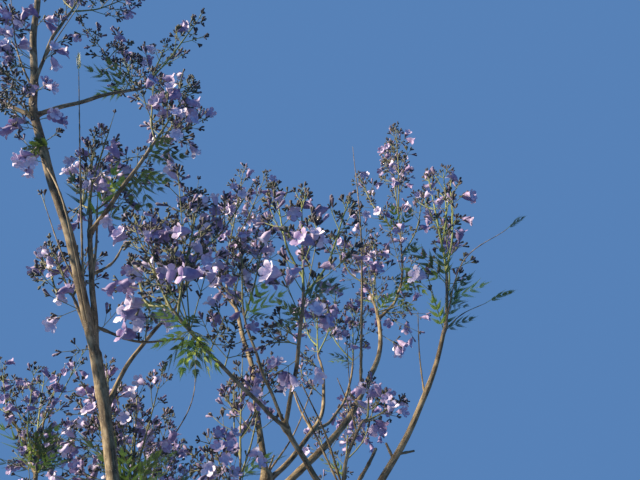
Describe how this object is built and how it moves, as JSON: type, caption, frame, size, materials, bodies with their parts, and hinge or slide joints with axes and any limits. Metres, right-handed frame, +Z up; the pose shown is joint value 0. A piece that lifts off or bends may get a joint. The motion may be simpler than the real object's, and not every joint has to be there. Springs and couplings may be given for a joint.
{
  "type": "jacaranda tree",
  "caption": "young flowering tree with a short trunk, bare ascending boughs and an open crown of upright lilac flower panicles, cut flat at ground level",
  "frame": {"origin": "middle of the flat cut under the trunk, at ground level", "axes": "+Z up along the trunk's height, +Y away from the picture's viewpoint, +X to the right in the picture; the crown leans left of and towards the viewpoint"},
  "size_m": [3.081, 3.372, 4.7761],
  "materials": {
    "bark": "smooth grey-brown young bark, tan where lit",
    "blossom": "matt lilac petals among dark buds on thin green-brown stalks"
  },
  "bodies": {
    "root": {"back_bough": "bark", "back_bough_blossom": "blossom", "back_left_bough": "bark", "back_left_bough_blossom": "blossom", "back_left_side": "bark", "back_left_side_blossom": "blossom", "centre_back_bough": "bark", "centre_back_bough_blossom": "blossom", "centre_back_right": "bark", "centre_back_right_blossom": "blossom", "centre_left_bough": "bark", "centre_left_bough_blossom": "blossom", "centre_low": "bark", "centre_low_blossom": "blossom", "centre_right_bough": "bark", "centre_right_bough_blossom": "blossom", "centre_right_top": "bark", "centre_right_top_blossom": "blossom", "centre_stem": "bark", "left_front": "bark", "left_front_blossom": "blossom", "left_high": "bark", "left_high_blossom": "blossom", "left_high_right": "bark", "left_high_right_blossom": "blossom", "left_inner": "bark", "left_inner_blossom": "blossom", "left_leader": "bark", "left_low": "bark", "left_low_blossom": "blossom", "left_low_right": "bark", "left_low_right_blossom": "blossom", "left_side": "bark", "left_side_blossom": "blossom", "left_stem": "bark", "left_top": "bark", "left_top_blossom": "blossom", "left_twin": "bark", "left_twin_blossom": "blossom", "left_twin_right": "bark", "left_twin_right_blossom": "blossom", "low_right_back": "bark", "low_right_back_blossom": "blossom", "low_right_bough": "bark", "low_right_bough_blossom": "blossom", "low_right_front": "bark", "low_right_front_blossom": "blossom", "right_far_bough": "bark", "right_far_bough_blossom": "blossom", "right_left_bough": "bark", "right_left_low": "bark", "right_left_low_blossom": "blossom", "right_left_mid": "bark", "right_left_mid_blossom": "blossom", "right_left_top": "bark", "right_left_top_blossom": "blossom", "right_mid_bough": "bark", "right_mid_bough_blossom": "blossom", "right_stem": "bark", "trunk": "bark"}
  },
  "joints": []
}
